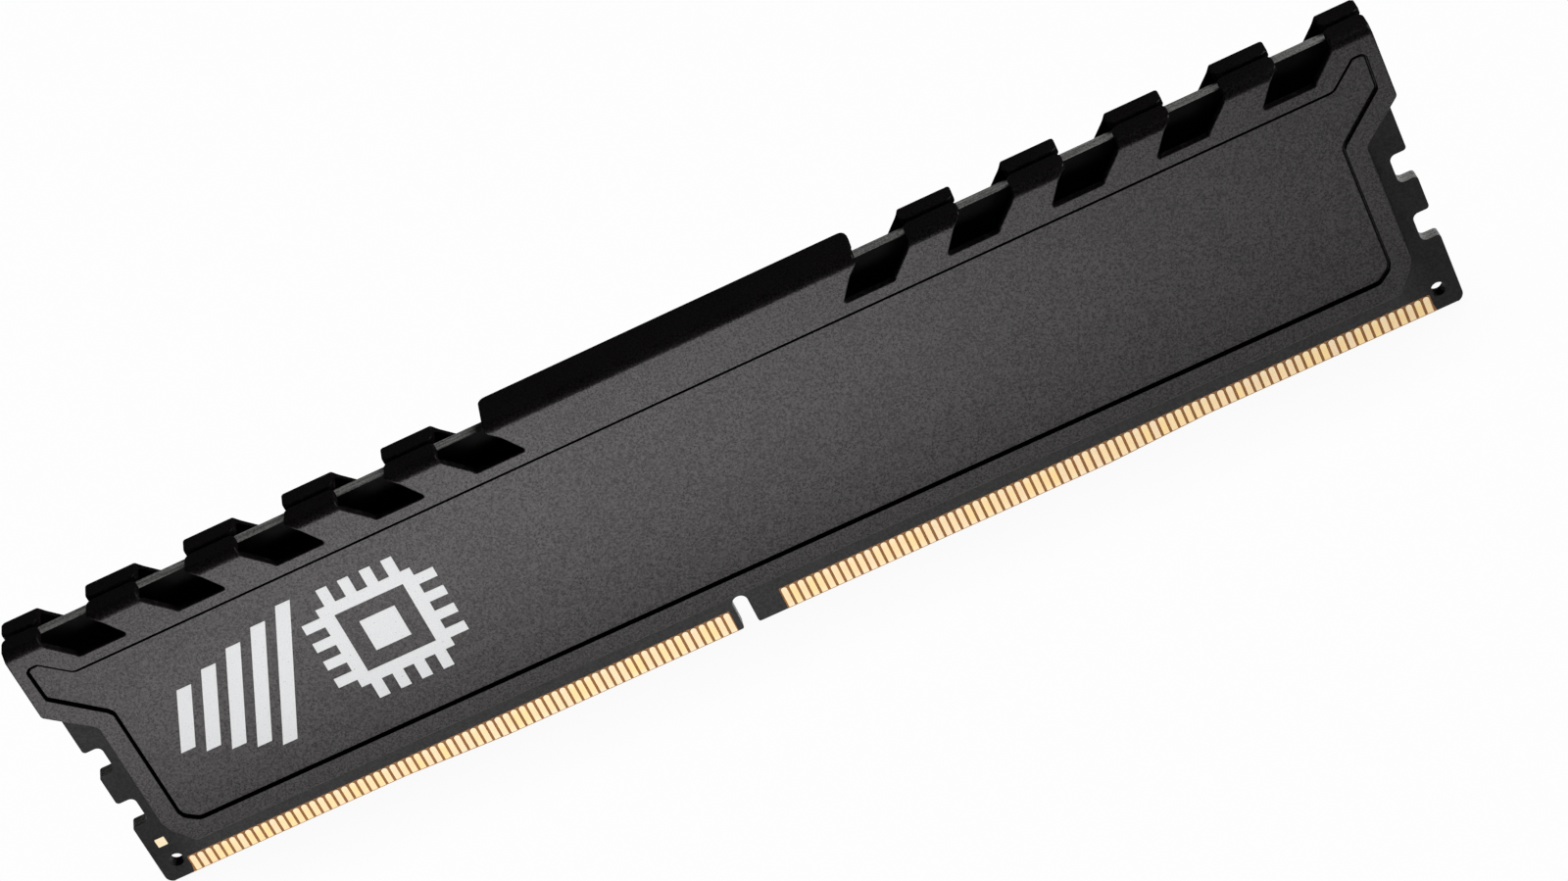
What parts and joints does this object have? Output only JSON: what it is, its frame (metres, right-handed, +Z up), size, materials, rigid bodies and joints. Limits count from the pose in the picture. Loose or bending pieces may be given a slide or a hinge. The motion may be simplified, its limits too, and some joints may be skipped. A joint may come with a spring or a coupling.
{
  "type": "computer memory module",
  "caption": "Desktop memory module: a gold-edged circuit board held between two stamped aluminium heat-spreader shells with notched top edges.",
  "frame": {"origin": "middle of the board's length and thickness, at the height of the lowest part of its card edge", "axes": "+X along the card edge, to the right as seen on the side with the printed mark; +Z up, away from the card edge; -Y out of the side with the printed mark"},
  "size_m": [0.1348, 0.0064, 0.0328],
  "materials": {
    "black_solder_mask": "satin black solder mask over glass fibre laminate",
    "contact_gold": "pale gold plating",
    "package_resin": "matte black moulding resin",
    "tinned_terminal": "dull tin",
    "capacitor_ceramic": "fired ceramic",
    "resistor_coating": "black glaze",
    "thermal_pad_rubber": "soft matte silicone",
    "spreader_coating": "fine matte charcoal anodised aluminium",
    "print_ink": "satin silver-white ink",
    "label_paper": "blank satin polyester film"
  },
  "bodies": {
    "root": {"circuit_board": "black_solder_mask", "contacts_front_short_bank": "contact_gold", "contacts_front_long_bank": "contact_gold", "contacts_back_short_bank": "contact_gold", "contacts_back_long_bank": "contact_gold", "register_pad": "contact_gold", "dram_packages_front": "package_resin", "dram_packages_back": "package_resin", "dram_solder_balls_front": "tinned_terminal", "dram_solder_balls_back": "tinned_terminal", "spd_sensor": "package_resin", "spd_sensor_terminals": "tinned_terminal", "capacitor_bodies_front": "capacitor_ceramic", "capacitor_terminals_front": "tinned_terminal", "capacitor_bodies_back": "capacitor_ceramic", "capacitor_terminals_back": "tinned_terminal", "resistor_array_bodies_front": "resistor_coating", "resistor_array_terminals_front": "tinned_terminal", "resistor_array_bodies_back": "resistor_coating", "resistor_array_terminals_back": "tinned_terminal", "thermal_pad_front": "thermal_pad_rubber", "thermal_pad_back": "thermal_pad_rubber", "heat_spreader_front": "spreader_coating", "heat_spreader_back": "spreader_coating", "printed_chip_mark": "print_ink", "printed_bars": "print_ink", "rating_label": "label_paper"}
  },
  "joints": []
}
